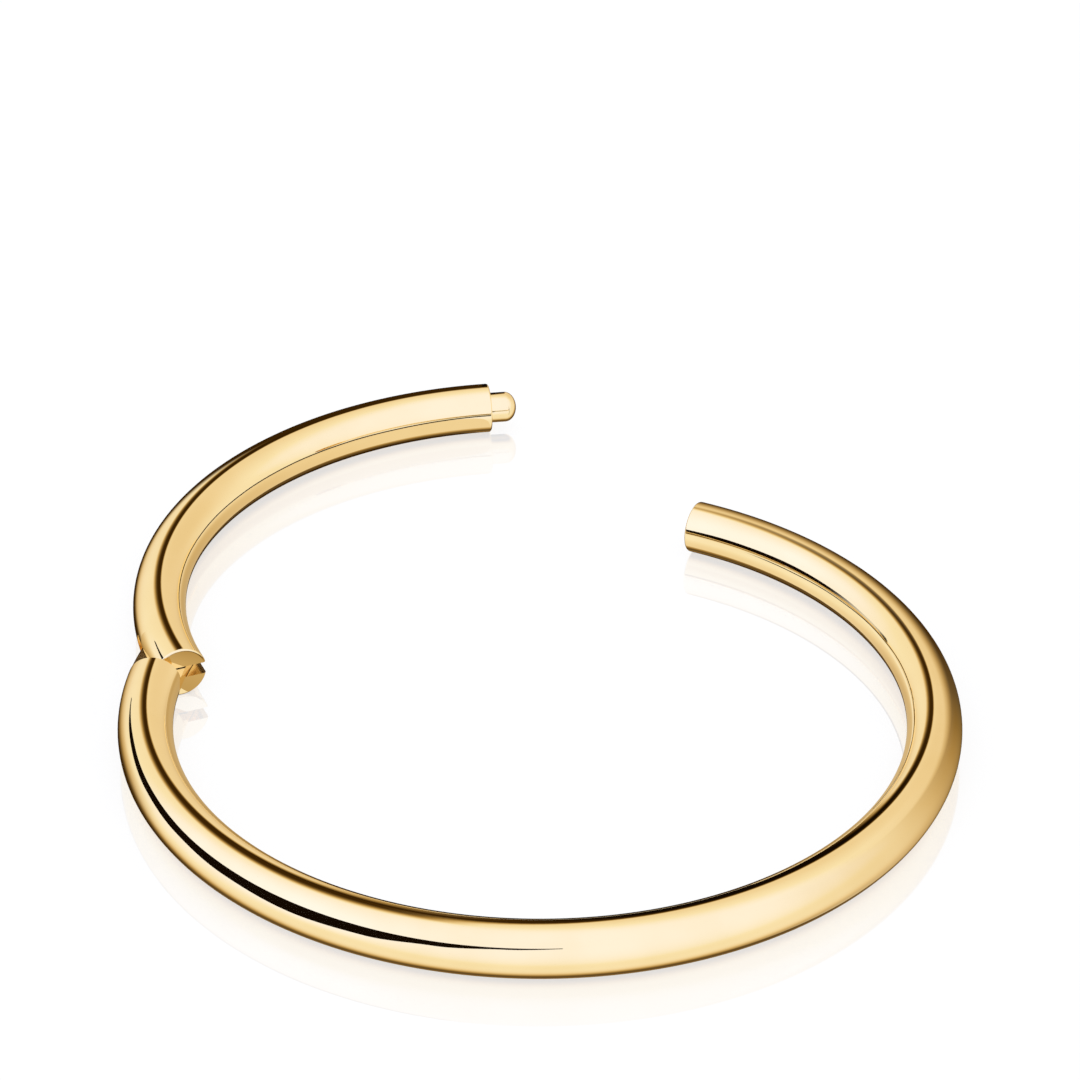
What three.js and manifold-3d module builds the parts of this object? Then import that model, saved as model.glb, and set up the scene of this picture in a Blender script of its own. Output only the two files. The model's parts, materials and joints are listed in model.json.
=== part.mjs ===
import * as THREE from 'three';
import { mergeVertices } from 'three/addons/utils/BufferGeometryUtils.js';
import { ConvexGeometry } from 'three/addons/geometries/ConvexGeometry.js';
import Module from 'manifold-3d';

// A hinged segment nose ring in polished gold, shown open and lying on its side.
// Millimetres and degrees, +Z up. Everything is laid out closed, round the centre of the ring, at the
// height of the wire's middle. Angles run anticlockwise from +X, seen from above. The segment then
// swings open about its pin, and the whole ring moves so that its origin is its bottom centre.

// The wire
const wireDiameter = 1.2;
const innerDiameter = 16;
const edgeBevel = 0.05;

// The two cuts that part the segment from the hoop
const hingeSeamAngle = 172.2;
const hingeSeamGap = 0.08;
const lockSeamAngle = 65;
const lockSeamGap = 0.04;

// The hinge: a tongue on the hoop between two ears of the segment, on one pin
const openAngle = 32.4;
const pinDiameter = 0.24;
const pinPastSeam = 1.11;
const pinOutward = 0.27;
const pinInUpperEar = 0.15;
const tongueThickness = 0.24;

// The stud in the segment's free end, with its blunt oval nose
const studDiameter = 0.74;
const studStraightLength = 0.38;
const studNoseLength = 0.28;
const studShankLength = 0.9;

// Clearances, on each side
const pinFitClearance = 0.015;
const pinRunningClearance = 0.03;
const tongueClearance = 0.02;
const tongueTipClearance = 0.03;
const studFitClearance = 0.015;
const socketClearance = 0.03;

// How far a cutter stands past what it cuts
const cutOverrun = 1;

// Facets
const wireSides = 24;
const wireStepAngle = 3.5;
const pinSides = 16;
const studSides = 20;
const studNoseRings = 5;

// Sizes that follow from these
const wireRadius = wireDiameter / 2;
const ringRadius = innerDiameter / 2 + wireRadius;
const pinRadius = pinDiameter / 2;
const studRadius = studDiameter / 2;
const studLength = studStraightLength + studNoseLength;
const slotHeight = tongueThickness + 2 * tongueClearance;
const segmentStartAngle = lockSeamAngle + THREE.MathUtils.radToDeg(lockSeamGap / ringRadius);
const segmentEndAngle = hingeSeamAngle - THREE.MathUtils.radToDeg(hingeSeamGap / ringRadius);
const pinAxis = pinAxisPlace();
const pinStationAngle = THREE.MathUtils.radToDeg(pinAxis.angle());

const wasm = await Module();
wasm.setup();

// The pin stands outside the wire's middle, a little way into the segment from the hinge seam
function pinAxisPlace() {
  const besideSeam = new THREE.Vector2(ringRadius + pinOutward, -pinPastSeam);
  return besideSeam.rotateAround(new THREE.Vector2(), THREE.MathUtils.degToRad(hingeSeamAngle));
}

// A stretch of the circle along the middle of the wire
class RingArc extends THREE.Curve {
  constructor(startAngle, endAngle) {
    super();
    this.start = THREE.MathUtils.degToRad(startAngle);
    this.end = THREE.MathUtils.degToRad(endAngle);
  }

  getPoint(t, target = new THREE.Vector3()) {
    const angle = THREE.MathUtils.lerp(this.start, this.end, t);
    return target.set(ringRadius * Math.cos(angle), ringRadius * Math.sin(angle), 0);
  }

  getTangent(t, target = new THREE.Vector3()) {
    const angle = THREE.MathUtils.lerp(this.start, this.end, t);
    return target.set(-Math.sin(angle), Math.cos(angle), 0);
  }
}

// The radius to the corners of a polygon whose flats touch a circle
function cornerRadius(radius, sides) {
  return radius / Math.cos(Math.PI / sides);
}

// A manifold body from a closed geometry, with doubled corners merged and flat triangles dropped
function solid(geometry) {
  geometry.deleteAttribute('normal');
  geometry.deleteAttribute('uv');
  const merged = mergeVertices(geometry);
  const corners = [];
  for (let i = 0; i < merged.index.count; i += 3) {
    const [a, b, c] = merged.index.array.slice(i, i + 3);
    if (a !== b && b !== c && c !== a) {
      corners.push(a, b, c);
    }
  }
  const mesh = new wasm.Mesh({
    numProp: 3,
    vertProperties: new Float32Array(merged.attributes.position.array),
    triVerts: new Uint32Array(corners),
  });
  return new wasm.Manifold(mesh);
}

// Turns a geometry, laid out beside the +X axis, round the ring's centre to its station
function atStation(geometry, stationAngle) {
  return geometry.rotateZ(THREE.MathUtils.degToRad(stationAngle));
}

// Round wire along a stretch of the ring. One flat of its section faces straight down, so it rests.
function wire(startAngle, endAngle) {
  const section = new THREE.Shape();
  const radius = cornerRadius(wireRadius, wireSides);
  for (let i = 0; i < wireSides; i += 1) {
    const angle = (i + 0.5) * 2 * Math.PI / wireSides;
    const corner = new THREE.Vector2(radius * Math.cos(angle), radius * Math.sin(angle));
    if (i === 0) {
      section.moveTo(corner.x, corner.y);
    } else {
      section.lineTo(corner.x, corner.y);
    }
  }
  const geometry = new THREE.ExtrudeGeometry(section, {
    extrudePath: new RingArc(startAngle, endAngle),
    steps: Math.round((endAngle - startAngle) / wireStepAngle),
    bevelEnabled: false,
  });
  return solid(geometry);
}

// What is cut off the sharp edge of the wire's end. The end faces along the ring, anticlockwise (1) or
// clockwise (-1).
function beyondBevel(stationAngle, facing) {
  const corner = cornerRadius(1, wireSides);
  const profile = [
    new THREE.Vector2(corner * (wireRadius - 2 * edgeBevel), edgeBevel),
    new THREE.Vector2(corner * (wireRadius + edgeBevel), -2 * edgeBevel),
    new THREE.Vector2(corner * (wireRadius + edgeBevel), edgeBevel),
  ];
  profile.push(profile[0]);
  const geometry = new THREE.LatheGeometry(profile, wireSides, Math.PI / wireSides);
  if (facing < 0) {
    geometry.rotateZ(Math.PI);
  }
  geometry.translate(ringRadius, 0, 0);
  return solid(atStation(geometry, stationAngle));
}

// An upright block between two heights, from an outline seen from above
function uprightBlock(outline, bottom, top, stationAngle) {
  const geometry = new THREE.ExtrudeGeometry(outline, {
    depth: top - bottom,
    bevelEnabled: false,
    curveSegments: 16,
  });
  geometry.translate(0, 0, bottom);
  return solid(atStation(geometry, stationAngle));
}

// A rectangle across the wire, from one place along it to another, measured at a station
function acrossWire(from, to) {
  const inner = ringRadius - wireRadius - cutOverrun;
  const outer = ringRadius + wireRadius + cutOverrun;
  const outline = new THREE.Shape();
  outline.moveTo(inner, from);
  outline.lineTo(outer, from);
  outline.lineTo(outer, to);
  outline.lineTo(inner, to);
  return outline;
}

// A round bar on the pin's axis, between two heights
function uprightBar(radius, bottom, top) {
  const geometry = new THREE.CylinderGeometry(radius, radius, top - bottom, pinSides);
  geometry.rotateX(Math.PI / 2);
  geometry.translate(pinAxis.x, pinAxis.y, (top + bottom) / 2);
  return solid(geometry);
}

// What is cut away round the tongue's end, so that it is a full half circle across the wire
function aroundTongueTip() {
  const inner = ringRadius - wireRadius - cutOverrun;
  const outer = ringRadius + wireRadius + cutOverrun;
  const past = -wireRadius - cutOverrun;
  const outline = new THREE.Shape();
  outline.moveTo(outer, 0);
  outline.lineTo(outer, past);
  outline.lineTo(inner, past);
  outline.lineTo(inner, 0);
  outline.lineTo(ringRadius - wireRadius, 0);
  outline.absarc(ringRadius, 0, wireRadius, Math.PI, 2 * Math.PI, false);
  return uprightBlock(outline, -wireDiameter, wireDiameter, pinStationAngle);
}

// What is cut off the ears' outer corners, so that they turn past the hoop's shoulder
function beyondEarRelief() {
  const reach = pinPastSeam - hingeSeamGap;
  const pinX = ringRadius + pinOutward;
  const outline = new THREE.Shape();
  outline.moveTo(pinX, -hingeSeamGap);
  outline.absarc(pinX, -pinPastSeam, reach, Math.PI / 2, Math.PI / 4, true);
  outline.lineTo(pinX + reach, cutOverrun);
  outline.lineTo(pinX, cutOverrun);
  return uprightBlock(outline, -wireDiameter, wireDiameter, hingeSeamAngle);
}

// The stud's outline, turned round its own axis. Its root is at height 0 and its nose points along +Y.
// Spare is added all round it, for the bore or the socket that it goes into.
function studGeometry(shankLength, spare) {
  const radius = spare === 0 ? studRadius : cornerRadius(studRadius + spare, studSides);
  const profile = [new THREE.Vector2(0, -shankLength)];
  profile.push(new THREE.Vector2(radius, -shankLength));
  for (let i = 0; i <= studNoseRings; i += 1) {
    const turn = (i / studNoseRings) * Math.PI / 2;
    const across = i === studNoseRings ? 0 : radius * Math.cos(turn);
    const along = studStraightLength + (studNoseLength + spare) * Math.sin(turn);
    profile.push(new THREE.Vector2(across, along));
  }
  return new THREE.LatheGeometry(profile, studSides);
}

// Puts what lies along +Y on the segment's end face, pointing clockwise into the hoop
function atSegmentEnd(geometry) {
  geometry.rotateZ(Math.PI);
  geometry.translate(ringRadius, 0, 0);
  return atStation(geometry, segmentStartAngle);
}

// The socket in the hoop's free end: all the room that the stud passes through as it swings out
function socket() {
  const reachFromPin = ringRadius - pinAxis.dot(directionOf(lockSeamAngle));
  const clearingTurn = 1.5 * studLength / reachFromPin;
  const corners = [];
  for (const turn of [0, clearingTurn / 2, clearingTurn]) {
    const geometry = atSegmentEnd(studGeometry(lockSeamGap * 2, socketClearance));
    geometry.translate(-pinAxis.x, -pinAxis.y, 0);
    geometry.rotateZ(turn);
    geometry.translate(pinAxis.x, pinAxis.y, 0);
    const places = geometry.attributes.position;
    for (let i = 0; i < places.count; i += 1) {
      corners.push(new THREE.Vector3().fromBufferAttribute(places, i));
    }
  }
  return solid(new ConvexGeometry(corners));
}

// A unit vector from the ring's centre towards a station
function directionOf(stationAngle) {
  const angle = THREE.MathUtils.degToRad(stationAngle);
  return new THREE.Vector2(Math.cos(angle), Math.sin(angle));
}

// The long arc, with the tongue at its hinge end and the socket at its free end
function hoopBody() {
  const tongueEndAngle = pinStationAngle - THREE.MathUtils.radToDeg(wireDiameter / ringRadius);
  const tongueTop = tongueThickness / 2;
  const beyondSeam = acrossWire(-pinPastSeam - wireDiameter - cutOverrun, 0);
  const bore = cornerRadius(pinRadius + pinRunningClearance, pinSides);
  return wire(tongueEndAngle, lockSeamAngle + 360)
    .subtract(uprightBlock(beyondSeam, tongueTop, wireDiameter, hingeSeamAngle))
    .subtract(uprightBlock(beyondSeam, -wireDiameter, -tongueTop, hingeSeamAngle))
    .subtract(aroundTongueTip())
    .subtract(uprightBar(bore, -wireDiameter, wireDiameter))
    .subtract(beyondBevel(lockSeamAngle, 1))
    .subtract(socket());
}

// The plain wire of the segment, from its free end to its hinge end
function segmentWire() {
  return wire(segmentStartAngle, segmentEndAngle);
}

// The short arc, with the fork at its hinge end and the stud's bore at its free end
function segmentBody() {
  const slotFloor = -wireRadius - tongueTipClearance;
  const slot = acrossWire(slotFloor, pinPastSeam + cutOverrun);
  const pinBore = cornerRadius(pinRadius + pinFitClearance, pinSides);
  const pinBoreTop = slotHeight / 2 + pinInUpperEar + pinFitClearance;
  const studBore = atSegmentEnd(studGeometry(studShankLength + studFitClearance, studFitClearance));
  return segmentWire()
    .subtract(beyondBevel(segmentStartAngle, -1))
    .subtract(beyondBevel(segmentEndAngle, 1))
    .subtract(beyondEarRelief())
    .subtract(uprightBlock(slot, -slotHeight / 2, slotHeight / 2, pinStationAngle))
    .subtract(uprightBar(pinBore, -wireDiameter, pinBoreTop))
    .subtract(solid(studBore));
}

// The pin, blind in the upper ear and flush with the wire below
function pinBody() {
  const pinTop = slotHeight / 2 + pinInUpperEar;
  return uprightBar(pinRadius, -wireDiameter, pinTop).intersect(segmentWire());
}

// The stud with its shank in the segment
function studBody() {
  return solid(atSegmentEnd(studGeometry(studShankLength, 0)));
}

// Mirror-polished yellow gold
function polishedGold() {
  return new THREE.MeshStandardMaterial({ color: 0xe3c07a, roughness: 0.08, metalness: 1 });
}

// One named piece of the ring
function piece(name, body) {
  const mesh = body.getMesh();
  const geometry = new THREE.BufferGeometry();
  geometry.setAttribute('position', new THREE.BufferAttribute(mesh.vertProperties, mesh.numProp));
  geometry.setIndex(new THREE.BufferAttribute(mesh.triVerts, 1));
  geometry.computeVertexNormals();
  const named = new THREE.Mesh(geometry, polishedGold());
  named.name = name;
  return named;
}

// The pieces that swing together on the pin
function openSegment() {
  const swing = new THREE.Group();
  swing.add(piece('hinged_segment', segmentBody()));
  swing.add(piece('hinge_pin', pinBody()));
  swing.add(piece('locking_stud', studBody()));
  for (const part of swing.children) {
    part.position.set(-pinAxis.x, -pinAxis.y, 0);
  }
  swing.position.set(pinAxis.x, pinAxis.y, 0);
  swing.rotation.z = THREE.MathUtils.degToRad(openAngle);
  return swing;
}

// The whole ring, with its origin at the bottom centre of its box
function noseRing() {
  const ring = new THREE.Group();
  ring.add(piece('main_hoop', hoopBody()));
  ring.add(openSegment());
  const box = new THREE.Box3().setFromObject(ring, true);
  const middle = box.getCenter(new THREE.Vector3());
  ring.position.set(-middle.x, -middle.y, -box.min.z);
  return ring;
}

export default noseRing();
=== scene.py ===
"""Looks of the open hinged ring: mirror-polished round wire, a fork and tongue at the hinge, and a
round-nosed stud.

The pieces are modelled in millimetres, closed, and the segment's pieces are then swung open on the
pin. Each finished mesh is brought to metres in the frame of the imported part.
"""

import json
import math

import bmesh
import bpy
from mathutils import Matrix, Vector


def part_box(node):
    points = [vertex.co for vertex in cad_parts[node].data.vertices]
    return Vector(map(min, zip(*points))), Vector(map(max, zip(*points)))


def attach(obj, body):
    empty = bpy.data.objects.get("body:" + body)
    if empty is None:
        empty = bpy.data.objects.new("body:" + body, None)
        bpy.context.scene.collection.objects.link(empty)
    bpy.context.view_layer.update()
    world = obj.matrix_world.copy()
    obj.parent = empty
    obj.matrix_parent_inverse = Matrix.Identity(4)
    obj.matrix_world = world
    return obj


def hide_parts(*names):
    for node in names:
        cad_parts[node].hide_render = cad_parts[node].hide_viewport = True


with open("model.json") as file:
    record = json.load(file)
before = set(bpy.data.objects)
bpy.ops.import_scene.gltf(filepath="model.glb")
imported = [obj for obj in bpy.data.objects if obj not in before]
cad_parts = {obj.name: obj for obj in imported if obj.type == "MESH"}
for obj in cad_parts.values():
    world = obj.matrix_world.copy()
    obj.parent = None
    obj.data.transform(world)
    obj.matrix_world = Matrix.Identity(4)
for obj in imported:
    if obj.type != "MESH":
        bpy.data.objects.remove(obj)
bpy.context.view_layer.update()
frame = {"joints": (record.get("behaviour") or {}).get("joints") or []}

MM = 0.001

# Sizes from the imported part
hinge = next(joint for joint in frame["joints"] if joint["name"] == "segment_hinge")
pin_place = Vector(hinge["pos_m"]) / MM
open_turn = math.radians(-hinge["range_deg"][0])
hoop_low, hoop_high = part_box("main_hoop")
wire_radius = (hoop_high.z - hoop_low.z) / 2 / MM
pin_low, pin_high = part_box("hinge_pin")
pin_radius = (pin_high.x - pin_low.x) / 2 / MM
pin_top = pin_high.z / MM

# The same driving dimensions as the part's source, in millimetres and degrees
ring_radius = 8.6
hinge_seam_angle = 172.2
hinge_seam_gap = 0.08
lock_seam_angle = 65.0
lock_seam_gap = 0.04
pin_past_seam = 1.11
pin_outward = 0.27
tongue_thickness = 0.24
slot_height = 0.28
tongue_tip_clearance = 0.03
stud_radius = 0.37
stud_straight_length = 0.38
stud_nose_length = 0.28
stud_shank_length = 0.9
pin_fit_clearance = 0.015
pin_running_clearance = 0.03
stud_fit_clearance = 0.015
socket_clearance = 0.03

# Finish of the wire's ends and of the stud's root
end_round = 0.06
stud_root_groove = 0.012

# Fineness of the smooth pieces
wire_sides = 64
wire_step = 1.5
cut_overrun = 1.0
same_point = 1e-5
sharp_edge = math.radians(32)

# How far the cutters reach, well past the wire
past_wire = 3 * wire_radius

hinge_seam = math.radians(hinge_seam_angle)
lock_seam = math.radians(lock_seam_angle)


def turned(x, y, angle):
    """A plan point turned round the ring's centre."""
    sine, cosine = math.sin(angle), math.cos(angle)
    return Vector((x * cosine - y * sine, x * sine + y * cosine))


pin_from_centre = turned(ring_radius + pin_outward, -pin_past_seam, hinge_seam)
pin_station = math.atan2(pin_from_centre.y, pin_from_centre.x)
ring_centre = Vector((pin_place.x - pin_from_centre.x, pin_place.y - pin_from_centre.y, wire_radius))
segment_start = lock_seam + lock_seam_gap / ring_radius
segment_end = hinge_seam - hinge_seam_gap / ring_radius


def about_pin(angle):
    """The turn of the segment on its pin."""
    return (
        Matrix.Translation(pin_place)
        @ Matrix.Rotation(angle, 4, "Z")
        @ Matrix.Translation(-pin_place)
    )


swing_open = about_pin(open_turn)
open_centre = swing_open @ ring_centre


# Materials


class Nodes:
    """Adds and links the nodes of one tree."""

    def __init__(self, tree):
        self.tree = tree
        self.tree.nodes.clear()

    def add(self, kind, settings=None, **inputs):
        node = self.tree.nodes.new(kind)
        for name, value in (settings or {}).items():
            setattr(node, name, value)
        for name, value in inputs.items():
            self.feed(node, name.replace("_", " "), value)
        return node

    def feed(self, node, name, value):
        socket = node.inputs[int(name)] if name.isdigit() else node.inputs[name]
        if isinstance(value, bpy.types.NodeSocket):
            self.tree.links.new(value, socket)
        else:
            socket.default_value = value

    def math(self, operation, first, second=0.0, third=0.0):
        node = self.tree.nodes.new("ShaderNodeMath")
        node.operation = operation
        for index, value in enumerate((first, second, third)):
            self.feed(node, str(index), value)
        return node.outputs[0]

    def ramp(self, value, low, high, to_low=0.0, to_high=1.0):
        """A smooth step of a value from one level to another."""
        node = self.add("ShaderNodeMapRange", {"interpolation_type": "SMOOTHSTEP"})
        for name, number in (
            ("Value", value),
            ("From Min", low),
            ("From Max", high),
            ("To Min", to_low),
            ("To Max", to_high),
        ):
            self.feed(node, name, number)
        return node.outputs["Result"]

    def blend(self, factor, first, second):
        """A colour between two colours."""
        node = self.add("ShaderNodeMix", {"data_type": "RGBA"})
        self.feed(node, "Factor", factor)
        for index, colour in ((6, first), (7, second)):
            self.feed(node, str(index), colour)
        return node.outputs[2]

    def link(self, source, target):
        self.tree.links.new(source, target)

    def show(self, shader):
        """Makes the shader the material's surface."""
        output = self.add("ShaderNodeOutputMaterial")
        self.link(shader.outputs[0], output.inputs["Surface"])

    def show_mix(self, share, first, second):
        """Makes the surface a mix of two shaders, with a share of the second."""
        mix = self.add("ShaderNodeMixShader", Fac=share)
        self.link(first.outputs[0], mix.inputs[1])
        self.link(second.outputs[0], mix.inputs[2])
        self.show(mix)


def blank_material(name):
    """A new material and the nodes of its empty tree."""
    material = bpy.data.materials.new(name)
    material.use_nodes = True
    return material, Nodes(material.node_tree)


def gold(name, tint, shade, roughness, roughness_spread, scratch_depth, scratch_pitch):
    """Plated gold. Tint and shade are its colour where the plating is thick and thin, and the
    scratches are the fine lines that polishing or milling leaves, at their real pitch in metres."""
    material, nodes = blank_material(name)
    surface = nodes.add("ShaderNodeBsdfPrincipled")
    surface.inputs["Metallic"].default_value = 1.0
    place = nodes.add("ShaderNodeTexCoord").outputs["Object"]
    cloud = nodes.add("ShaderNodeTexNoise", Vector=place, Scale=600.0, Detail=3.0, Roughness=0.55)
    plating = nodes.ramp(cloud.outputs["Fac"], 0.35, 0.7)
    nodes.link(nodes.blend(plating, shade, tint), surface.inputs["Base Color"])
    haze = nodes.add("ShaderNodeTexNoise", Vector=place, Scale=2500.0, Detail=4.0, Roughness=0.6)
    worn = nodes.ramp(haze.outputs["Fac"], 0.4, 0.75, roughness, roughness + roughness_spread)
    nodes.link(worn, surface.inputs["Roughness"])
    stretch = nodes.add("ShaderNodeMapping", Vector=place, Scale=(1.0, 1.0, 7.0))
    lines = nodes.add(
        "ShaderNodeTexNoise",
        Vector=stretch.outputs["Vector"],
        Scale=1.0 / scratch_pitch,
        Detail=2.0,
        Roughness=0.7,
    )
    relief = nodes.add(
        "ShaderNodeBump", Strength=0.5, Distance=scratch_depth, Height=lines.outputs["Fac"]
    )
    nodes.link(relief.outputs["Normal"], surface.inputs["Normal"])
    nodes.show(surface)
    return material


polished_gold = gold(
    "polished_gold", (1.0, 0.8, 0.43, 1), (0.98, 0.775, 0.4, 1), 0.03, 0.015, 2e-8, 4e-5
)
milled_gold = gold(
    "milled_gold", (0.96, 0.76, 0.41, 1), (0.9, 0.68, 0.34, 1), 0.16, 0.08, 4e-7, 3e-5
)
turned_gold = gold(
    "turned_gold", (1.0, 0.8, 0.43, 1), (0.95, 0.74, 0.38, 1), 0.05, 0.03, 6e-8, 3e-5
)


# Meshes


def wire_tree():
    """Round wire along an arc, with its two sharp end edges rounded."""
    tree = bpy.data.node_groups.new("round_wire", "GeometryNodeTree")
    for name, kind in (
        ("Ring Radius", "NodeSocketFloat"),
        ("Wire Radius", "NodeSocketFloat"),
        ("Start Angle", "NodeSocketFloat"),
        ("Sweep Angle", "NodeSocketFloat"),
        ("End Round", "NodeSocketFloat"),
        ("Stations", "NodeSocketInt"),
        ("Sides", "NodeSocketInt"),
        ("Centre", "NodeSocketVector"),
        ("Finish", "NodeSocketMaterial"),
    ):
        tree.interface.new_socket(name, in_out="INPUT", socket_type=kind)
    tree.interface.new_socket("Geometry", in_out="OUTPUT", socket_type="NodeSocketGeometry")
    nodes = Nodes(tree)
    sizes = nodes.add("NodeGroupInput").outputs
    shortened = nodes.math("DIVIDE", sizes["End Round"], sizes["Ring Radius"])
    arc = nodes.add(
        "GeometryNodeCurveArc",
        {"mode": "RADIUS"},
        Resolution=sizes["Stations"],
        Radius=sizes["Ring Radius"],
        Start_Angle=nodes.math("ADD", sizes["Start Angle"], shortened),
        Sweep_Angle=nodes.math("MULTIPLY_ADD", shortened, -2.0, sizes["Sweep Angle"]),
    )
    section = nodes.add(
        "GeometryNodeCurvePrimitiveCircle",
        {"mode": "RADIUS"},
        Resolution=sizes["Sides"],
        Radius=sizes["Wire Radius"],
    )
    swept = nodes.add(
        "GeometryNodeCurveToMesh",
        Curve=arc.outputs["Curve"],
        Profile_Curve=section.outputs["Curve"],
        Fill_Caps=True,
    )
    corners = nodes.add("GeometryNodeCornersOfFace").outputs["Total"]
    is_cap = nodes.math("GREATER_THAN", corners, 4.5)
    mesh, cap = swept.outputs["Mesh"], is_cap
    round_steps = 5
    for step in range(round_steps):
        angles = [math.pi / 2 * (step + k) / round_steps for k in (0, 1)]
        rise = nodes.math("MULTIPLY", sizes["End Round"], math.sin(angles[1]) - math.sin(angles[0]))
        radii = [
            nodes.math(
                "MULTIPLY_ADD", sizes["End Round"], math.cos(angle) - 1.0, sizes["Wire Radius"]
            )
            for angle in angles
        ]
        raised = nodes.add(
            "GeometryNodeExtrudeMesh",
            {"mode": "FACES"},
            Mesh=mesh,
            Selection=cap,
            Offset_Scale=rise,
            Individual=True,
        )
        narrowed = nodes.add(
            "GeometryNodeScaleElements",
            {"domain": "FACE"},
            Geometry=raised.outputs["Mesh"],
            Selection=raised.outputs["Top"],
            Scale=nodes.math("DIVIDE", radii[1], radii[0]),
        )
        mesh, cap = narrowed.outputs["Geometry"], raised.outputs["Top"]
    smooth = nodes.add("GeometryNodeSetShadeSmooth", Geometry=mesh, Shade_Smooth=True)
    placed = nodes.add(
        "GeometryNodeTransform", Geometry=smooth.outputs["Geometry"], Translation=sizes["Centre"]
    )
    real = nodes.add("GeometryNodeRealizeInstances", Geometry=placed.outputs["Geometry"])
    finished = nodes.add(
        "GeometryNodeSetMaterial", Geometry=real.outputs["Geometry"], Material=sizes["Finish"]
    )
    nodes.link(finished.outputs["Geometry"], nodes.add("NodeGroupOutput").inputs["Geometry"])
    return tree


round_wire = wire_tree()


def new_object(name, mesh):
    piece = bpy.data.objects.new(name, mesh)
    bpy.context.scene.collection.objects.link(piece)
    return piece


def evaluated(piece):
    """The piece's mesh with its modifiers' work in it. The modifiers are taken off."""
    bpy.context.view_layer.update()
    depsgraph = bpy.context.evaluated_depsgraph_get()
    mesh = bpy.data.meshes.new_from_object(piece.evaluated_get(depsgraph), depsgraph=depsgraph)
    piece.modifiers.clear()
    piece.data = mesh
    return mesh


def wire(name, start, end):
    """A stretch of the ring's wire between two angles."""
    piece = new_object(name, bpy.data.meshes.new(name))
    sweep = piece.modifiers.new("wire", "NODES")
    sweep.node_group = round_wire
    stations = round(math.degrees(end - start) / wire_step) + 1
    values = {
        "Ring Radius": ring_radius,
        "Wire Radius": wire_radius,
        "Start Angle": start,
        "Sweep Angle": end - start,
        "End Round": end_round,
        "Stations": stations,
        "Sides": wire_sides,
        "Centre": ring_centre,
        "Finish": polished_gold,
    }
    for item in round_wire.interface.items_tree:
        if item.in_out == "INPUT":
            sweep[item.identifier] = values[item.name]
    evaluated(piece)
    return piece


def upright_block(outline, bottom, top, station=0.0):
    """A cutter between two heights above the wire's middle, from an outline beside the +X axis of a
    station."""
    plan = [turned(x, y, station) for x, y in outline]
    form = bmesh.new()
    rings = [
        [
            form.verts.new((ring_centre.x + p.x, ring_centre.y + p.y, ring_centre.z + height))
            for p in plan
        ]
        for height in (bottom, top)
    ]
    form.faces.new(reversed(rings[0]))
    form.faces.new(rings[1])
    for k in range(len(plan)):
        n = (k + 1) % len(plan)
        form.faces.new((rings[0][k], rings[0][n], rings[1][n], rings[1][k]))
    bmesh.ops.recalc_face_normals(form, faces=form.faces)
    return mesh_object("cutter", form, milled_gold)


def mesh_object(name, form, material):
    mesh = bpy.data.meshes.new(name)
    form.to_mesh(mesh)
    form.free()
    mesh.materials.append(material)
    return new_object(name, mesh)


def arc(centre, radius, start, end, steps):
    return [
        (
            centre[0] + radius * math.cos(start + (end - start) * k / steps),
            centre[1] + radius * math.sin(start + (end - start) * k / steps),
        )
        for k in range(steps + 1)
    ]


def across_wire(start, end):
    """A rectangle across the wire, from one place along it to another."""
    inner = ring_radius - wire_radius - cut_overrun
    outer = ring_radius + wire_radius + cut_overrun
    return [(inner, start), (outer, start), (outer, end), (inner, end)]


def upright_bar(radius, bottom, top, sides=48):
    """A round bar on the pin's axis."""
    outline = arc((pin_from_centre.x, pin_from_centre.y), radius, 0, 2 * math.pi, sides)[:-1]
    return upright_block(outline, bottom, top)


def stud_form(shank, spare, rings=12, sides=64, groove=0.0):
    """The stud turned round its own axis, pointing clockwise out of the segment's end."""
    radius = stud_radius + spare
    profile = [(0.0, -shank), (radius, -shank)]
    if groove:
        profile += [
            (radius, -2 * groove),
            (radius - groove, -groove),
            (radius - groove, groove),
            (radius, 2 * groove),
        ]
    for k in range(rings + 1):
        turn = k / rings * math.pi / 2
        nose = (stud_nose_length + spare) * math.sin(turn)
        profile.append((radius * math.cos(turn), stud_straight_length + nose))
    place = (
        Matrix.Translation(ring_centre)
        @ Matrix.Rotation(segment_start, 4, "Z")
        @ Matrix.Translation((ring_radius, 0, 0))
        @ Matrix.Rotation(math.pi, 4, "Z")
    )
    form = bmesh.new()
    circles = []
    for across, along in profile:
        if across < same_point:
            circles.append([form.verts.new(place @ Vector((0, along, 0)))])
            continue
        turns = [2 * math.pi * k / sides for k in range(sides)]
        circles.append(
            [
                form.verts.new(place @ Vector((across * math.cos(t), along, across * math.sin(t))))
                for t in turns
            ]
        )
    for low, high in zip(circles, circles[1:]):
        for k in range(sides):
            n = (k + 1) % sides
            corners = (
                low[k % len(low)], low[n % len(low)], high[n % len(high)], high[k % len(high)]
            )
            form.faces.new(list(dict.fromkeys(corners)))
    bmesh.ops.recalc_face_normals(form, faces=form.faces)
    return form


def socket_cutter():
    """All the room that the stud passes through as it swings out of the hoop's free end."""
    reach = ring_radius - pin_from_centre.dot(turned(1, 0, lock_seam))
    well_clear = 1.5
    clearing_turn = well_clear * (stud_straight_length + stud_nose_length) / reach
    form = bmesh.new()
    for share in (0, 0.5, 1):
        around_pin = about_pin(clearing_turn * share)
        stud = stud_form(2 * lock_seam_gap, socket_clearance, sides=48)
        for vertex in stud.verts:
            form.verts.new(around_pin @ vertex.co)
        stud.free()
    hull = bmesh.ops.convex_hull(form, input=form.verts)
    bmesh.ops.delete(form, geom=list(set(hull["geom_interior"] + hull["geom_unused"])), context="VERTS")
    bmesh.ops.recalc_face_normals(form, faces=form.faces)
    return mesh_object("cutter", form, milled_gold)


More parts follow.
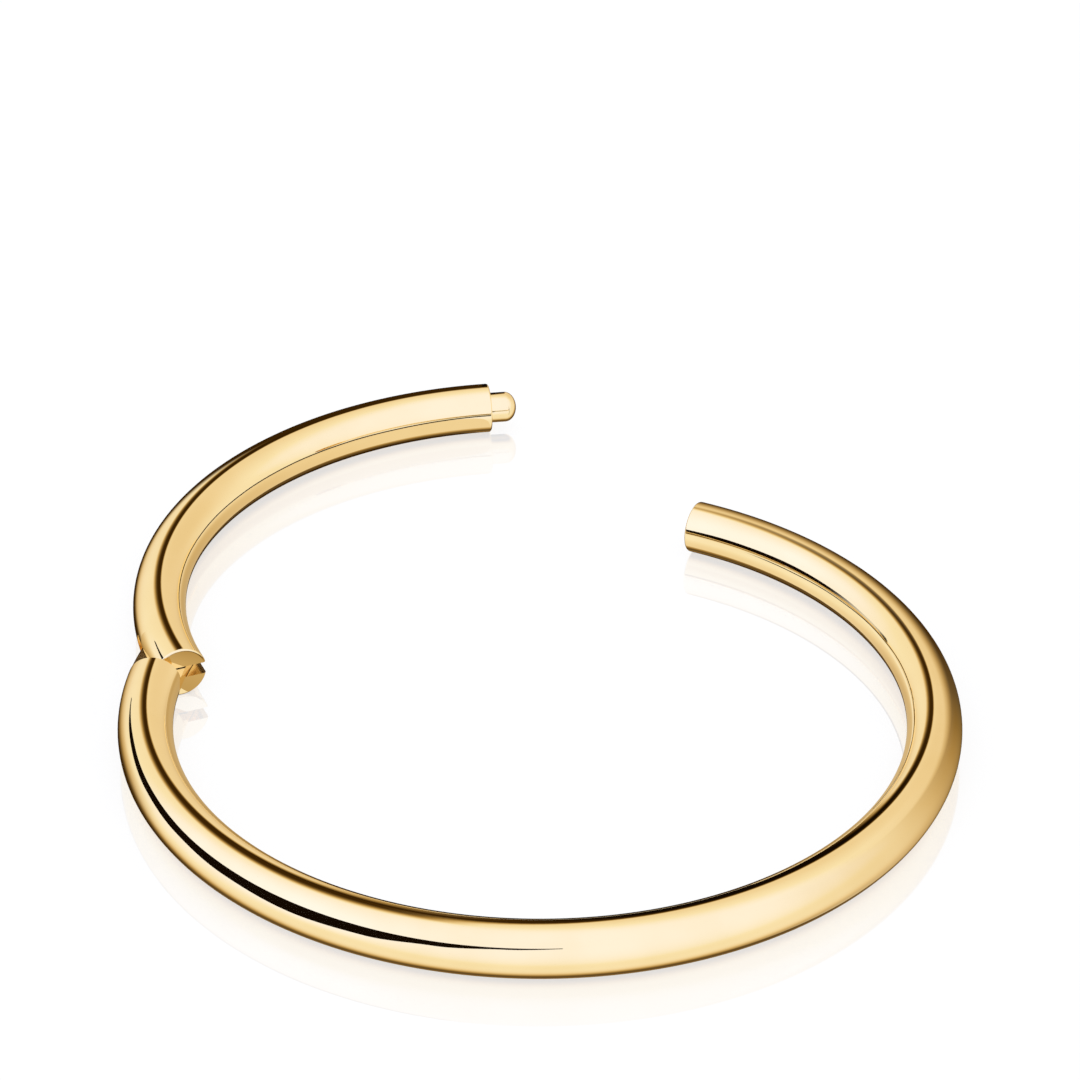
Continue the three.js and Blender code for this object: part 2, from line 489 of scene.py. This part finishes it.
def carve(piece, *cutters, keep="DIFFERENCE"):
    """Takes the cutters out of the piece, or keeps what they share."""
    for cutter in cutters:
        cut = piece.modifiers.new("cut", "BOOLEAN")
        cut.operation = keep
        cut.solver = "EXACT"
        cut.material_mode = "TRANSFER"
        cut.double_threshold = 0.0
        cut.object = cutter
    evaluated(piece)
    for cutter in cutters:
        bpy.data.objects.remove(cutter)
    return piece


def main_hoop():
    """The long arc, with the tongue at its hinge end and the socket at its free end."""
    tongue_top = tongue_thickness / 2
    steps_to_pin = math.degrees(hinge_seam - pin_station) / wire_step
    spare_steps = 4.5
    tongue_turn = wire_step * (math.ceil(steps_to_pin) + spare_steps)
    beyond_seam = across_wire(-pin_past_seam - past_wire, 0)
    inner = ring_radius - wire_radius - cut_overrun
    outer = ring_radius + wire_radius + cut_overrun
    past = -wire_radius - cut_overrun
    around_tip = [(outer, 0), (outer, past), (inner, past), (inner, 0)]
    around_tip += arc((ring_radius, 0), wire_radius, math.pi, 2 * math.pi, 32)
    piece = wire("hoop", hinge_seam - math.radians(tongue_turn), lock_seam + 2 * math.pi)
    return carve(
        piece,
        upright_block(beyond_seam, tongue_top, past_wire, hinge_seam),
        upright_block(beyond_seam, -past_wire, -tongue_top, hinge_seam),
        upright_block(around_tip, -past_wire, past_wire, pin_station),
        upright_bar(pin_radius + pin_running_clearance, -past_wire, past_wire),
        socket_cutter(),
    )


def segment_body():
    """The short arc, with the fork at its hinge end and the stud's bore at its free end."""
    slot = across_wire(-wire_radius - tongue_tip_clearance, pin_past_seam + cut_overrun)
    pin_x = ring_radius + pin_outward
    reach = pin_past_seam - hinge_seam_gap
    relief = [(pin_x, cut_overrun)]
    relief += arc((pin_x, -pin_past_seam), reach, math.pi / 2, math.pi / 4, 24)
    relief += [(pin_x + reach, cut_overrun)]
    bore_top = pin_top - wire_radius + pin_fit_clearance
    bore_form = stud_form(stud_shank_length + stud_fit_clearance, stud_fit_clearance)
    stud_bore = mesh_object("cutter", bore_form, milled_gold)
    piece = wire("segment", segment_start, segment_end)
    return carve(
        piece,
        upright_block(relief, -past_wire, past_wire, hinge_seam),
        upright_block(slot, -slot_height / 2, slot_height / 2, pin_station),
        upright_bar(pin_radius + pin_fit_clearance, -past_wire, bore_top),
        stud_bore,
    )


def pin_body():
    """The pin, blind in the upper ear and flush with the wire below."""
    piece = upright_bar(pin_radius, -past_wire, pin_top - wire_radius)
    return carve(piece, wire("sleeve", segment_start, segment_end), keep="INTERSECT")


def stud_body():
    """The stud, with a fine groove where it leaves the segment's end."""
    form = stud_form(stud_shank_length, 0.0, groove=stud_root_groove)
    return mesh_object("stud", form, turned_gold)


def true_normals(mesh, circle_centre):
    """The normals of a true round wire at each vertex, which faces are the wire's own, and the normal
    of each vertex that such a face touches."""
    near_surface = 0.01
    same_side = 0.93
    on_wire = []
    outward = []
    for vertex in mesh.vertices:
        beside = vertex.co - circle_centre
        middle = Vector((beside.x, beside.y, 0)).normalized() * ring_radius
        away = beside - middle
        on_wire.append(abs(away.length - wire_radius) < near_surface)
        outward.append(away.normalized())
    wire_faces = []
    wire_normal = [None] * len(mesh.vertices)
    for face in mesh.polygons:
        is_wire = all(on_wire[v] for v in face.vertices) and all(
            face.normal.dot(outward[v]) > same_side for v in face.vertices
        )
        wire_faces.append(is_wire)
        if is_wire:
            for v in face.vertices:
                wire_normal[v] = outward[v]
    return outward, wire_faces, wire_normal


def reflecting_normals(mesh, circle_centre):
    """The mesh's corner normals, with the round wire's own on its faces and on the flat faces' corners
    that nearly agree with it, so that the reflections run clean up to each edge."""
    nearly_alike = 0.9
    outward, wire_faces, wire_normal = true_normals(mesh, circle_centre)
    normals = [corner.vector.copy() for corner in mesh.corner_normals]
    for face, is_wire in zip(mesh.polygons, wire_faces):
        for corner in face.loop_indices:
            v = mesh.loops[corner].vertex_index
            if is_wire:
                normals[corner] = outward[v]
            elif wire_normal[v] is not None and normals[corner].dot(wire_normal[v]) > nearly_alike:
                normals[corner] = wire_normal[v]
    return [tuple(normal) for normal in normals]


def dress(piece, name, body, node, circle_centre):
    """Brings a finished piece to metres, gives it its normals and its body, and hides the CAD node that
    it stands for."""
    mesh = piece.data
    mesh.name = name
    piece.name = name
    form = bmesh.new()
    form.from_mesh(mesh)
    bmesh.ops.remove_doubles(form, verts=form.verts, dist=same_point)
    bmesh.ops.dissolve_degenerate(form, edges=form.edges, dist=same_point)
    for edge in form.edges:
        edge.smooth = len(edge.link_faces) == 2 and edge.calc_face_angle(0) < sharp_edge
    for face in form.faces:
        face.smooth = True
    form.to_mesh(mesh)
    form.free()
    normals = None if circle_centre is None else reflecting_normals(mesh, circle_centre)
    mesh.transform(Matrix.Scale(MM, 4))
    if normals is not None:
        mesh.normals_split_custom_set(normals)
    mesh.update()
    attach(piece, body)
    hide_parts(node)


dress(main_hoop(), "hoop_polished", "hoop", "main_hoop", ring_centre)

for make, name, node, slot_name, centre in (
    (segment_body, "segment_polished", "hinged_segment", "gold_segment", open_centre),
    (pin_body, "pin_turned", "hinge_pin", "gold_pin", None),
    (stud_body, "stud_polished", "locking_stud", "gold_stud", None),
):
    part = make()
    part.data.transform(swing_open)
    dress(part, name, "segment", node, centre)


# Studio


def pale_floor():
    """A lit white sheet that the ring lies on. Its gloss gives a faint sharp reflection."""
    half_width = 400.0
    matt_white, glow, mirror_share = 0.18, 0.84, 0.22
    form = bmesh.new()
    bmesh.ops.create_grid(form, x_segments=2, y_segments=2, size=half_width * MM)
    material, nodes = blank_material("white_sheet")
    matt = nodes.add("ShaderNodeBsdfDiffuse", Color=(matt_white, matt_white, matt_white, 1))
    lit = nodes.add("ShaderNodeEmission", Color=(1, 1, 1, 1), Strength=glow)
    body = nodes.add("ShaderNodeAddShader")
    nodes.link(matt.outputs[0], body.inputs[0])
    nodes.link(lit.outputs[0], body.inputs[1])
    gloss = nodes.add("ShaderNodeBsdfGlossy", Color=(1, 1, 1, 1), Roughness=0.0)
    nodes.show_mix(mirror_share, body, gloss)
    floor = mesh_object("floor", form, material)
    floor.visible_glossy = False


def smooth_through(value, points):
    """A height between chosen (place, height) points, eased from each to the next."""
    for (left, low), (right, high) in zip(points, points[1:]):
        if value <= right:
            share = (value - left) / (right - left)
            return low + (high - low) * share * share * (3 - 2 * share)
    return points[-1][1]


def brightness_to_gold_light(nodes, brightness):
    """The light's colour for a brightness from 0 to 1: near black, brown, warm yellow, then a cool
    white."""
    tone = nodes.add("ShaderNodeValToRGB", Fac=brightness)
    stops = (
        (0.0, (0.006, 0.003, 0.001, 1)),
        (0.15, (0.054, 0.025, 0.003, 1)),
        (0.3, (0.141, 0.0925, 0.04, 1)),
        (0.41, (0.275, 0.176, 0.06, 1)),
        (0.52, (0.43, 0.294, 0.124, 1)),
        (0.69, (0.68, 0.54, 0.34, 1)),
        (0.81, (0.87, 0.775, 0.644, 1)),
        (0.895, (0.97, 0.97, 0.98, 1)),
        (0.945, (1.02, 1.1, 1.53, 1)),
        (1.0, (1.05, 1.2, 1.85, 1)),
    )
    ramp = tone.color_ramp
    ramp.elements[0].position, ramp.elements[0].color = stops[0]
    ramp.elements[1].position, ramp.elements[1].color = stops[-1]
    for position, colour in stops[1:-1]:
        ramp.elements.new(position).color = colour
    return tone.outputs["Color"]


def curve_through(nodes, value, points):
    """A smooth curve of a value between 0 and 1, through a few chosen points."""
    node = nodes.add("ShaderNodeFloatCurve")
    nodes.feed(node, "Value", value)
    curve = node.mapping.curves[0]
    for at, height in points[1:-1]:
        curve.points.new(at, height)
    curve.points[0].location = points[0]
    curve.points[-1].location = points[-1]
    node.mapping.update()
    return node.outputs[0]


def distance_from_middle(nodes, middle):
    """The place across, along and up from a point, in millimetres, for a stage piece's own colours."""
    place = nodes.add("ShaderNodeTexCoord").outputs["Object"]
    parts = nodes.add("ShaderNodeSeparateXYZ", Vector=place).outputs
    return [
        nodes.math("SUBTRACT", nodes.math("DIVIDE", parts[axis], MM), start)
        for axis, start in zip("XYZ", middle)
    ]


def card_material(
    name,
    brightness,
    middle=ring_centre,
    start=None,
    end=None,
    top=None,
    rise=None,
    lighter=None,
    lighter_along=None,
    reach=None,
):
    """A dark card for the ring's first reflections only. It may fade out between two bearings from a
    middle, at its start or its end, and between two heights at its top, which may rise from a bearing
    to another. It may grow lighter upward from a height to another, and along from a bearing to
    another. A card with a reach, in millimetres, is clear to the parts of the ring that are further
    off."""
    lightest = 0.8
    fade_of_reach = 0.8
    after_first_reflection = 1.5
    material, nodes = blank_material(name)
    rays = nodes.add("ShaderNodeLightPath").outputs
    unseen = nodes.math("GREATER_THAN", rays["Glossy Depth"], after_first_reflection)
    unseen = nodes.math("MAXIMUM", rays["Is Singular Ray"], unseen)
    if reach is not None:
        distance = nodes.math("DIVIDE", rays["Ray Length"], MM)
        too_far = nodes.ramp(distance, fade_of_reach * reach, reach)
        unseen = nodes.math("MAXIMUM", unseen, too_far)
    across, along, up = distance_from_middle(nodes, middle)
    bearing = nodes.math("MULTIPLY", nodes.math("ARCTAN2", across, along), 180 / math.pi)
    if lighter is not None:
        brightness = nodes.ramp(up, *lighter, brightness, lightest)
    if lighter_along is not None:
        brightness = nodes.math("MAXIMUM", brightness, nodes.ramp(bearing, *lighter_along))
    if rise is not None:
        up = nodes.math("SUBTRACT", up, nodes.ramp(bearing, *rise))
    cover = 1.0
    for place, fade in ((bearing, start), (bearing, end), (up, top)):
        if fade is not None:
            cover = nodes.math("MULTIPLY", nodes.ramp(place, *fade), cover)
    unseen = nodes.math("MAXIMUM", unseen, nodes.math("SUBTRACT", 1.0, cover))
    tone = brightness_to_gold_light(nodes, brightness)
    face = nodes.add("ShaderNodeEmission", Color=tone, Strength=1.0)
    nodes.show_mix(unseen, face, nodes.add("ShaderNodeBsdfTransparent"))
    return material


def stage_for_reflections(card):
    """Only the ring's reflections see the card."""
    card.visible_camera = False
    card.visible_diffuse = False
    card.visible_shadow = False


def bent_card(name, path, material):
    """A card as a strip of faces between pairs of low and high points, in millimetres."""
    form = bmesh.new()
    edges = [[form.verts.new(point * MM) for point in pair] for pair in path]
    for (low, high), (next_low, next_high) in zip(edges, edges[1:]):
        form.faces.new((low, next_low, next_high, high))
    stage_for_reflections(mesh_object(name, form, material))


def beside_wire(place, start, end, offset, low, high, steps=120):
    """Pairs of points that follow the wire from one angle to another, at an offset from its middle."""
    return [
        [place @ (ring_centre + Vector((x, y, height))) for height in (low, high)]
        for x, y in arc((0, 0), ring_radius + offset, start, end, steps)
    ]


def standing_strip(name, middle, radius, low_edge, high_edge, material, steps=120):
    """A card that stands round a middle, between two curves of its height above the middle, each over
    the bearing in degrees, clockwise from straight behind."""
    first, last = low_edge[0][0], low_edge[-1][0]
    path = []
    for k in range(steps + 1):
        bearing = first + (last - first) * k / steps
        turn = math.radians(bearing)
        x, y = radius * math.sin(turn), radius * math.cos(turn)
        heights = (smooth_through(bearing, low_edge), smooth_through(bearing, high_edge))
        path.append([middle + Vector((x, y, height)) for height in heights])
    bent_card(name, path, material)


def left_flag():
    """The black card for the dark band along the wire. It stands low round the ring's left and
    front."""
    radius = 14.0
    low_edge = (
        (-184, 3.75), (-174, 3.2), (-162, 1.9), (-150, 0.5), (-136, -0.1), (-120, 0.5), (-105, 1.1),
        (-92, 1.5), (-77, 1.9), (-66, 2.2),
    )
    high_edge = (
        (-184, 4.1), (-150, 3.8), (-120, 3.55), (-105, 3.45), (-92, 3.5), (-77, 3.3), (-66, 2.5),
    )
    black = card_material("black_card", 0.0)
    standing_strip("left_flag", ring_centre, radius, low_edge, high_edge, black)


def rim_cards():
    """Painted shade: brown cards close outside the wire, reaching below the floor, that only its
    reflections see, for its dark outer edges where the ring's own shade on the floor close outside it
    would show. They fade upward, the left ones lower than the right one."""
    offset, bottom, reach = 1.7, -9.0, 9.0
    short_of_hinge, past_lock = 0.15, 0.1
    unmoved = Matrix.Identity(4)
    left_painted_shade = card_material(
        "left_rim_painted_shade",
        0.12,
        start=(-114, -92),
        end=(-62, -69),
        top=(0.6, 0.1),
        lighter=(-1.4, 0.5),
        reach=reach,
    )
    segment_painted_shade = card_material(
        "segment_rim_painted_shade",
        0.1,
        open_centre,
        start=(-112, -100),
        end=(0, -8),
        top=(0.3, -0.6),
        rise=(-92, -28, -0.4, 1.9),
        reach=reach,
    )
    right_painted_shade = card_material(
        "right_rim_painted_shade",
        0.13,
        start=(10, 22),
        end=(152, 100),
        top=(4.6, 0.2),
        lighter=(-0.2, 2.4),
        lighter_along=(60, 124, 0.15, 0.78),
        reach=reach,
    )
    # Each card puts painted shade into the ring's reflections only.
    for name, place, start, end, high, brown in (
        ("left_rim_card", unmoved, math.radians(161), math.radians(225), 0.6, left_painted_shade),
        (
            "segment_rim_card",
            swing_open,
            segment_start,
            segment_end - short_of_hinge,
            2.4,
            segment_painted_shade,
        ),
        ("right_rim_card", unmoved, math.radians(-62), lock_seam + past_lock, 4.6, right_painted_shade),
    ):
        bent_card(name, beside_wire(place, start, end, offset, bottom, high), brown)


def floor_inside():
    """Painted reflection with painted shade: a glowing disc on the floor inside the ring that only the
    ring's reflections see, for the floor as its inner side reflects it: dark by the front, brighter to
    the back, with a darker rim."""
    material, nodes = blank_material("floor_inside")
    across, along, _ = distance_from_middle(nodes, ring_centre)

    def length(first, second):
        squares = [nodes.math("MULTIPLY", side, side) for side in (first, second)]
        return nodes.math("SQRT", nodes.math("ADD", *squares))

    # Painted shade on the reflected floor, darkest towards the front.
    dark_middle, dark_stretch, dark_reach = 3.5, 0.5, 12.0
    past_dark = nodes.math("MULTIPLY", nodes.math("ADD", along, dark_middle), dark_stretch)
    brightness = curve_through(
        nodes,
        nodes.math("DIVIDE", length(across, past_dark), dark_reach),
        (
            (0, 0.03), (0.25, 0.06), (0.35, 0.18), (0.42, 0.4), (0.5, 0.56), (0.6, 0.68), (0.75, 0.77),
            (1, 0.82),
        ),
    )
    back_brightness = 0.9
    back_right = nodes.math("MULTIPLY", nodes.ramp(along, 1.5, 5.0), nodes.ramp(across, -6.0, 0.0))
    back = nodes.math("MAXIMUM", back_right, nodes.ramp(along, 6.0, 11.0))
    lift = nodes.math("MULTIPLY", back, nodes.math("SUBTRACT", back_brightness, brightness))
    brightness = nodes.math("ADD", brightness, lift)
    left_shade = nodes.ramp(across, -3.0, -7.0, 0.0, 0.06)
    rim_shade = nodes.ramp(length(across, along), 7.0, 8.0, 0.0, 0.08)
    for shade in (left_shade, rim_shade):
        brightness = nodes.math("SUBTRACT", brightness, shade)
    tone = brightness_to_gold_light(nodes, brightness)
    face = nodes.add("ShaderNodeEmission", Color=tone, Strength=1.0)
    mirrored = nodes.add("ShaderNodeLightPath").outputs["Is Singular Ray"]
    nodes.show_mix(mirrored, face, nodes.add("ShaderNodeBsdfTransparent"))

    rim_gap, steps = 0.05, 96
    form = bmesh.new()
    for place, start, end, above_floor in (
        (Matrix.Identity(4), 0.0, 2 * math.pi, 0.004),
        (swing_open, segment_start, segment_end, 0.006),
    ):
        centre = ring_centre + Vector((0, 0, above_floor - wire_radius))
        outline = arc((0, 0), ring_radius - wire_radius - rim_gap, start, end, steps)
        middle = form.verts.new((place @ centre) * MM)
        rim = [form.verts.new((place @ (centre + Vector((x, y, 0)))) * MM) for x, y in outline]
        for near, far in zip(rim, rim[1:]):
            form.faces.new((middle, near, far))
    stage_for_reflections(mesh_object("floor_inside", form, material))


def free_end_band():
    """A black strip inside the ring by the free end, for the dark band along its inner side. It fades
    out away from the end."""
    radius = 6.3
    low_edge = ((18, 0.19), (26, 0.14), (34, 0.18), (40, 0.22), (44, 0.27))
    high_edge = ((18, 0.53), (26, 0.68), (34, 0.77), (40, 0.68), (44, 0.56))
    fading = card_material("free_end_black", 0.0, end=(45, 39), reach=7.0)
    standing_strip("free_end_band", ring_centre, radius, low_edge, high_edge, fading)


def fine_lines():
    """Painted shade: black strips close inside the wire that only its reflections see, for the fine
    dark line along its inner side where the edge of the ring's own shade on the floor would show.
    """
    radius, reach = 7.2, 5.0
    for name, middle, thickness, start, low_edge in (
        (
            "hoop_painted_shade_line",
            ring_centre,
            0.08,
            (32, 38),
            (
                (32, -0.16), (41, -0.15), (51, -0.04), (61, 0.1), (70, 0.24), (80, 0.22), (90, 0.15),
                (100, 0.12), (112, 0.0),
            ),
        ),
        (
            "segment_painted_shade_line",
            open_centre,
            0.1,
            (-92, -84),
            (
                (-92, 0.13), (-75, 0.13), (-62, 0.09), (-53, 0.04), (-43, 0.0), (-32, -0.06),
                (-22, -0.11), (-6, -0.07),
            ),
        ),
    ):
        high_edge = [(bearing, height + thickness) for bearing, height in low_edge]
        # Painted shade: a black strip, seen only in the ring's reflections, for the fine dark line.
        shade_line_card = card_material(name + "_black", 0.0, middle, start=start, reach=reach)
        standing_strip(name, middle, radius, low_edge, high_edge, shade_line_card)


def bearing_and_level(azimuth, elevation):
    """The direction at an azimuth, clockwise from straight away from the camera, and an elevation."""
    a, e = math.radians(azimuth), math.radians(elevation)
    return Vector((math.sin(a) * math.cos(e), math.cos(a) * math.cos(e), math.sin(e)))


def dark_upright(nodes, bearing, level):
    """The share of the narrow dark upright straight behind. It leans left as it rises, and its left
    side grows softer."""
    lean_start, lean_slope, left_edge = 28, 0.3, 5.0
    above = nodes.math("MAXIMUM", nodes.math("SUBTRACT", level, lean_start), 0.0)
    bearing = nodes.math("ADD", bearing, nodes.math("MULTIPLY", above, lean_slope))
    softness = nodes.ramp(level, 12, 32, 7.0, 17.0)
    from_left = nodes.math("DIVIDE", nodes.math("ADD", bearing, left_edge), softness)
    share = nodes.math("MULTIPLY", nodes.ramp(from_left, -1, 0), nodes.ramp(bearing, 4, -1))
    for fade in ((-46, -20), (64, 38), (22, 34, 1.0, 0.86)):
        share = nodes.math("MULTIPLY", share, nodes.ramp(level, *fade))
    return share


def studio_light():
    """Soft light from all round: bright above and at the camera's side, dimmer and warmer low behind
    the ring, a little dimmer high behind at the right and brighter at the left, with a narrow dark
    upright straight behind. The camera and the floor see plain white."""
    world = bpy.data.worlds.new("studio")
    bpy.context.scene.world = world
    world.use_nodes = True
    nodes = Nodes(world.node_tree)
    direction = nodes.add("ShaderNodeTexCoord").outputs["Generated"]
    parts = nodes.add("ShaderNodeSeparateXYZ", Vector=direction).outputs
    level = nodes.math("MULTIPLY", nodes.math("ARCSINE", parts["Z"]), 180 / math.pi)
    bearing = nodes.math("ARCTAN2", parts["X"], parts["Y"])
    bearing = nodes.math("MULTIPLY", bearing, 180 / math.pi)

    def away_from(azimuth, elevation):
        """The share of a half turn between the light's direction and a given one."""
        towards = nodes.add("ShaderNodeVectorMath", {"operation": "DOT_PRODUCT"})
        nodes.feed(towards, "0", direction)
        nodes.feed(towards, "1", bearing_and_level(azimuth, elevation))
        return nodes.math("DIVIDE", nodes.math("ARCCOSINE", towards.outputs["Value"]), math.pi)

    brightness = curve_through(
        nodes,
        away_from(0, -50),
        (
            (0, 0.4), (0.08, 0.36), (0.14, 0.25), (0.19, 0.34), (0.22, 0.46), (0.27, 0.68),
            (0.32, 0.82), (0.37, 0.87), (0.5, 0.885), (0.6, 0.92), (0.78, 0.945), (1, 0.945),
        ),
    )
    right_shade = nodes.ramp(away_from(28, 30), 0.03, 0.3, 0.08, 0.0)
    brightness = nodes.math("SUBTRACT", brightness, right_shade)
    left_glow = nodes.ramp(away_from(-95, 20), 0.1, 0.33, 0.06, 0.0)
    brightness = nodes.math("ADD", brightness, left_glow)
    besides_upright = nodes.math("SUBTRACT", 1.0, dark_upright(nodes, bearing, level))
    brightness = nodes.math("MULTIPLY", brightness, besides_upright)

    rays = nodes.add("ShaderNodeLightPath").outputs
    plain = nodes.math("MAXIMUM", rays["Is Camera Ray"], rays["Is Singular Ray"])
    plain = nodes.math("MAXIMUM", plain, rays["Is Diffuse Ray"])
    white = (1.0, 1.0, 1.0, 1)
    colour = nodes.blend(plain, brightness_to_gold_light(nodes, brightness), white)
    shine = nodes.add("ShaderNodeBackground", Color=colour, Strength=1.0)
    output = nodes.add("ShaderNodeOutputWorld")
    nodes.link(shine.outputs["Background"], output.inputs["Surface"])


def camera():
    """The photograph's view: its place is measured from the ring's centre, in ring radii."""
    back, height = 8.22010860, 5.48404004
    downward = math.radians(31.2064)
    lens = bpy.data.cameras.new("camera")
    lens.sensor_width = 36.0
    lens.lens = 129.387
    lens.clip_start = 0.005
    lens.clip_end = 10.0
    viewer = new_object("camera", lens)
    viewer.location = (ring_centre + Vector((0, -back * ring_radius, height * ring_radius))) * MM
    viewer.rotation_euler = (math.pi / 2 - downward, 0, 0)
    bpy.context.scene.camera = viewer


pale_floor()
left_flag()
rim_cards()
floor_inside()
free_end_band()
fine_lines()
studio_light()
camera()
bpy.context.scene.view_settings.view_transform = "Standard"
